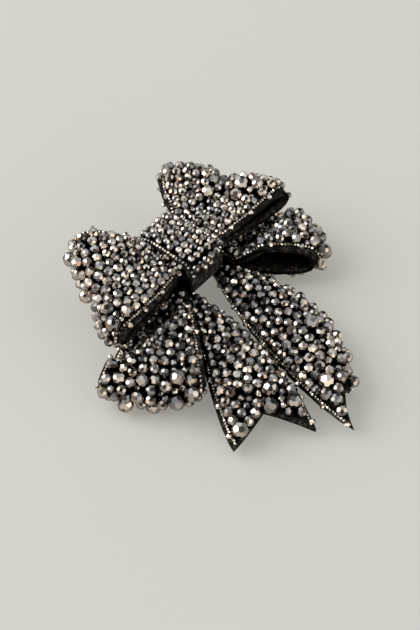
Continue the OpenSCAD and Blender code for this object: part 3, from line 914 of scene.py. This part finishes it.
# The largest beads on the sides that show: u, v and radius
LARGE_BEADS = {
    "upper_left": [(0.4, -0.77, 3), (0.38, -0.53, 2.5), (0.28, -0.75, 2.5), (0.43, 0.42, 2.5),
                   (0.24, 0.8, 2.5), (0.29, 0.53, 2.5)],
    "upper_right": [(0.28, -0.42, 3), (0.19, -0.49, 2.5), (0.2, 0.11, 2.5), (0.29, -0.65, 2.5)],
    "lower_left": [(0.37, -0.49, 3), (0.47, -0.72, 3), (0.42, -0.29, 2.5), (0.39, 0.14, 2.5),
                   (0.39, 0.57, 2.5)],
    "lower_right": [(0.48, -0.8, 2.5), (0.4, 0.13, 2.5)],
    "left_tail": [(0.965, -0.7, 3), (0.975, 0.14, 3), (0.9, 0.72, 3), (0.86, 0.32, 3)],
    "right_tail": [(0.62, 0.26, 3), (0.84, -0.4, 3), (0.85, -0.64, 2.5), (0.93, 0.03, 2.5),
                   (0.92, -0.54, 2.5), (0.67, 0.59, 2.5)],
}
LARGE_SQUEEZE = 0.8
# Large beads on the loops' hidden halves: radius, area for each, least reach and u, and how far apart
HIDDEN_LARGE = (3.0, 900, 0.9, 0.5, 8.5), (2.5, 600, 0.6, 0.45, 7)
PITCH = 0.5


def style_of(name):
    """A ribbon's own style, or that of its kind."""
    return next(STYLES[key] for key in (name, *name.split("_")) if key in STYLES)


def row_of_seeds(ribbon, v, low, high):
    """Seed beads in a row along a ribbon's edge, and every so often a small picot bead outside."""
    u = np.linspace(low, high, 1500)
    along = lengths_along(ribbon.point(u, v))
    count = int(along[-1] / (2.06 * SEED_R))
    places = np.interp(np.linspace(0, along[-1], count), along, u)
    seeds, picots = [], []
    sway = np.cumsum(rng.normal(0, 0.004, count))
    sway -= np.linspace(0, sway[-1], count)
    vs = v + np.clip(sway, -0.02, 0.02) + rng.normal(0, 0.002, count)
    points, normals = ribbon.point(places, vs), ribbon.normal(places, vs)
    until = rng.uniform(3, 8)
    for k in range(count):
        r = SEED_R * rng.uniform(0.88, 1.04)
        centre = points[k] + normals[k] * (FELT_T + 0.85 * r)
        tangent = points[min(k + 1, count - 1)] - points[max(k - 1, 0)]
        seeds.append((centre, r, tangent + rng.normal(0, 0.25, 3)))
        until -= 2 * SEED_R
        if until < 0:
            until = rng.uniform(7, 12)
            r = rng.uniform(0.95, 1.2)
            v_out = v + math.copysign(0.055, v)
            n = ribbon.normal(places[k], v_out)
            spot = ribbon.point(places[k], v_out) + n * (FELT_T + 0.8 * r)
            picots.append((spot, r, tangent))
    return seeds, picots


def grid_spots(ribbon, u_range, v_range):
    """Jittered u and v of spots about PITCH apart."""
    run = steps_along(ribbon.point(np.linspace(*u_range, 400), 0)).sum()
    span = np.linalg.norm(ribbon.point(0.5, 1.0) - ribbon.point(0.5, -1.0))
    n, m = int(run / PITCH), int(span * (v_range[1] - v_range[0]) / 2 / PITCH)
    u = even_u(ribbon, n, *u_range)
    uu, vv = np.meshgrid(u, np.linspace(*v_range, m), indexing="ij")
    uu = uu + rng.uniform(-0.3, 0.3, uu.shape) * (u_range[1] - u_range[0]) / n
    vv = vv + rng.uniform(-0.3, 0.3, vv.shape) * (v_range[1] - v_range[0]) / m
    return np.clip(uu.ravel(), *u_range), np.clip(vv.ravel(), *v_range)


def edge_beads(name, ribbon):
    """The seed beads along both edges of a ribbon, with their picots, all marked as placed."""
    seeds, picots = [], []
    for v in (-SEED_V, SEED_V):
        row, outside = row_of_seeds(ribbon, v, *style_of(name).seeds)
        seeds += row
        if name != "knot":
            picots += outside
    PLACED.extend((*centre, radius) for centre, radius, _ in seeds + picots)
    return seeds + picots


def knot_rim():
    """Beads in three staggered rows over the knot's rims, where there is room for them."""
    knot, made = PIECES["knot"], []
    for side in (-1, 1):
        for place in np.arange(0.03, 0.42, 0.009):
            row = len(made) % 3
            u = place + rng.normal(0, 0.002)
            v = side * (rng.uniform(1.06, 1.16) + 0.1 * row)
            radius = rng.uniform(1.1, 1.35)
            lift = 0.4 - 1.7 * row + rng.normal(0, 0.2)
            centre = knot.point(u, v) + knot.normal(u, v) * lift
            if clear_of_all(centre, radius, 0.3):
                made.append((centre, radius, hole_direction(knot.normal(u, v))))
                PLACED.append((*centre, radius))
    return made


def bead_field(name, ribbon, edge):
    """All beads on one ribbon's facing: the large ones first, then rows, then the gaps."""
    style = style_of(name)
    field = Field(ribbon, grid_spots(ribbon, style.beads, (-0.9, 0.9)), felt_tree(name), style.give)
    for centre, radius, _ in edge:
        field.add(centre, radius)
    zone = field.s + rng.normal(0, 0.03, len(field.s))
    area = len(zone) * PITCH ** 2
    for u, v, radius in LARGE_BEADS.get(name, ()):
        field.sew(u, v, radius, LARGE_SQUEEZE)
    for radius, share, least_reach, least_u, apart in HIDDEN_LARGE if name in LOOPS else ():
        field.scatter(radius, int(area / share), (zone > least_reach) & (field.u > least_u), apart)
    field.sew_rows(style)
    for radius, squeeze in style.fills:
        field.fill(radius, squeeze)
    return field.beads


edges = {name: edge_beads(name, ribbon) for name, ribbon in PIECES.items()}
rim = knot_rim()

for name, ribbon in PIECES.items():
    style = style_of(name)
    beads = bead_field(name, ribbon, edges[name]) + (rim if name == "knot" else [])
    bead_mesh(f"{name}_bead_field", beads, CUTS, BEAD, [f"{name}_beads"], coated,
              style.dark_from, style.shade)
    bead_mesh(f"{name}_seed_rows", edges[name], SEED_CUTS, SEED, [f"{name}_edging"],
              coated if name == "knot" else lined)


# ---- Binding, back patch, stitches and metal ----
PIN_Y = 1.5
PATCH_TOP = TAIL_Z - FELT_T - 0.1
PATCH_BOTTOM = PATCH_TOP - 1.7
PATCH_L, PATCH_W, PATCH_CORNER, PATCH_SIDES = 33, 13, 3, 96
BAR_Z = PATCH_BOTTOM - 0.9
BINDING_L, BINDING_W, BINDING_H = 7.2, 9.4, 5.2
THREAD_R, STITCH_R = 0.3, 0.17
STITCH_X = -9, -3, 3


def centre_thread():
    """Thread wound round the gathered ribbons, under the knot."""
    turns, per_turn = 25, 40
    angle = np.arange(turns * per_turn) * 2 * np.pi / per_turn
    wander = 0.25 * np.sin(angle * 0.37) * np.sin(angle * 0.11)
    end = BINDING_L - THREAD_R
    path = np.stack([np.linspace(-end, end, len(angle)) + wander,
                     KNOT_Y + (BINDING_W - THREAD_R) * np.cos(angle),
                     KNOT_Z + (BINDING_H - THREAD_R) * np.sin(angle)], -1)
    points, faces = tube(path, THREAD_R)
    piece("centre_thread", np.array(points), faces, THREAD, ["centre_binding"])


def back_patch():
    """The felt patch that carries the pin, with round corners, soft rims and slightly lumpy faces."""
    outline = []
    for k in range(PATCH_SIDES):
        a = 2 * math.pi * k / PATCH_SIDES
        x, y = math.cos(a), math.sin(a)
        outline.append((math.copysign(PATCH_L / 2 - PATCH_CORNER, x) + PATCH_CORNER * x,
                        math.copysign(PATCH_W / 2 - PATCH_CORNER, y) + PATCH_CORNER * y))
    shares = [0.06, 0.3, 0.55, 0.75, 0.9, 0.975, 1.0]
    rings = [(share, PATCH_TOP - (0.25 if share == 1.0 else 0)) for share in shares] \
        + [(1.012, (PATCH_TOP + PATCH_BOTTOM) / 2)] \
        + [(share, PATCH_BOTTOM + (0.25 if share == 1.0 else 0)) for share in reversed(shares)]
    points = np.array([[x * share, PIN_Y + y * share, z] for share, z in rings for x, y in outline])
    points[:, 2] += 0.06 * smooth_noise(points, 1.6, 91)
    last = (len(rings) - 1) * PATCH_SIDES
    faces = [tuple(range(PATCH_SIDES)), tuple(last + k for k in reversed(range(PATCH_SIDES)))]
    for base in range(0, last, PATCH_SIDES):
        for k in range(PATCH_SIDES):
            a, b = base + k, base + (k + 1) % PATCH_SIDES
            faces.append((a, b, b + PATCH_SIDES, a + PATCH_SIDES))
    patch = piece("back_patch_felt", points, faces, FELT, ["back_patch"])
    round_outwards(patch)


def bar_stitches():
    """Three strands of thread through each pair of the bar's holes, into the patch."""
    strands = []
    for x in STITCH_X:
        for shift in (-0.3, 0, 0.3):
            sway = rng.uniform(-0.06, 0.06)
            low, out = x + shift * 0.8, x + shift
            path = [(low, 0, PATCH_BOTTOM + 0.9), (low, 0, BAR_Z + 0.4), (out, 0.05, BAR_Z - 0.08),
                    (out, 0.3, BAR_Z - 0.2), (out + sway, 1.4, BAR_Z - 0.22),
                    (out, 2.4, BAR_Z - 0.2), (out, 2.72, BAR_Z - 0.05), (low, 2.8, BAR_Z + 0.4),
                    (low, 2.8, PATCH_BOTTOM + 0.8)]
            strands.append(tube(np.array(path) + (0, PIN_Y, 0), STITCH_R))
    points, faces = join(strands)
    piece("bar_stitches", points, faces, THREAD, ["pin_stitches"])


centre_thread()
back_patch()
bar_stitches()
for node, material in (("pin_bar", NICKEL), ("hinge_rivet", NICKEL), ("catch_rotor", NICKEL),
                       ("pin_stem", STEEL)):
    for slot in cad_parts[node].material_slots:
        slot.material = material

# ---- Floor, light and camera ----
# The camera looks at AIM from DISTANCE away, turned from the frame's X axis and tilted down
LOOK_TURN, LOOK_DOWN = math.radians(40), math.radians(50)
LEVEL = Vector((math.cos(LOOK_TURN), math.sin(LOOK_TURN), 0))
AHEAD = LEVEL * math.cos(LOOK_DOWN) - Vector((0, 0, math.sin(LOOK_DOWN)))
RIGHT = Vector((LEVEL.y, -LEVEL.x, 0))
UP = RIGHT.cross(AHEAD)
AIM = Vector((-0.00272, 0.00953, 0.0079))
DISTANCE = 0.72

HALF = 3
floor_mesh = bpy.data.meshes.new("floor")
floor_mesh.from_pydata([(-HALF, -HALF, 0), (HALF, -HALF, 0), (HALF, HALF, 0), (-HALF, HALF, 0)],
                       [], [(0, 1, 2, 3)])
floor = bpy.data.objects.new("floor", floor_mesh)
bpy.context.scene.collection.objects.link(floor)
paper = Shader("floor_paper", Roughness=0.9, Base_Color=(0.435, 0.417, 0.383, 1),
               Specular_IOR_Level=0.15, Emission_Color=(1, 0.97, 0.9, 1), Emission_Strength=0.23)
floor_mesh.materials.append(paper.material)


KEY_WAY, KEY_DISTANCE = Vector((-0.46, 0.66, 0.6)).normalized(), 2.6
key_data = bpy.data.lights.new("key", "AREA")
key_data.shape = "SQUARE"
key_data.size = 2.3
key_data.energy = 50
key_data.color = (1.0, 0.97, 0.93)
key = bpy.data.objects.new("key", key_data)
key.location = AIM + KEY_WAY * KEY_DISTANCE
key.rotation_mode = "QUATERNION"
key.rotation_quaternion = KEY_WAY.to_track_quat("Z", "Y")
bpy.context.scene.collection.objects.link(key)

world = bpy.data.worlds.new("studio")
bpy.context.scene.world = world
world.use_nodes = True
studio = Nodes(world.node_tree)
way = studio.node("ShaderNodeTexCoord").outputs["Generated"]


def patch_over(below, colour, direction, start, end):
    """The room's colour with a soft round patch of another colour laid over it.

    start and end are the cosines of the angles from its direction where it sets in and is full."""
    dot = studio.node("ShaderNodeVectorMath")
    dot.operation = "DOT_PRODUCT"
    dot.inputs[1].default_value = Vector(direction).normalized()
    studio.tree.links.new(way, dot.inputs[0])
    share = studio.between(dot.outputs["Value"], 0, 1, start, end)
    share.node.interpolation_type = "SMOOTHSTEP"
    return studio.blend("MIX", share, below, (*colour, 1))


# Warm walls, a cooler ceiling, a bright window low in front, and two dark screens for the beads to
# mirror
room = (0.95, 0.9, 0.8, 1)
for colour, direction, start, end in (
        ((0.66, 0.71, 0.78), (0, 0, 1), 0.1, 0.5), ((1.5, 1.38, 1.22), (-0.1, -1, 0.2), 0.7, 0.93),
        ((0.03, 0.03, 0.032), (-0.49, -0.41, 0.77), 0.72, 0.95),
        ((0.06, 0.06, 0.065), (0.75, 0.1, 0.65), 0.84, 0.95)):
    room = patch_over(room, colour, direction, start, end)
background = studio.tree.nodes["Background"]
studio.tree.links.new(room, background.inputs["Color"])
background.inputs["Strength"].default_value = 1.25

camera_data = bpy.data.cameras.new("camera")
camera_data.sensor_fit = "HORIZONTAL"
camera_data.sensor_width = 36
camera_data.lens = 162.3
camera_data.clip_start, camera_data.clip_end = 0.01, 20
camera = bpy.data.objects.new("camera", camera_data)
bpy.context.scene.collection.objects.link(camera)
camera.matrix_world = Matrix.Translation(AIM - AHEAD * DISTANCE) \
    @ Matrix((RIGHT, UP, -AHEAD)).transposed().to_4x4()
bpy.context.scene.camera = camera
bpy.context.scene.view_settings.view_transform = "Standard"
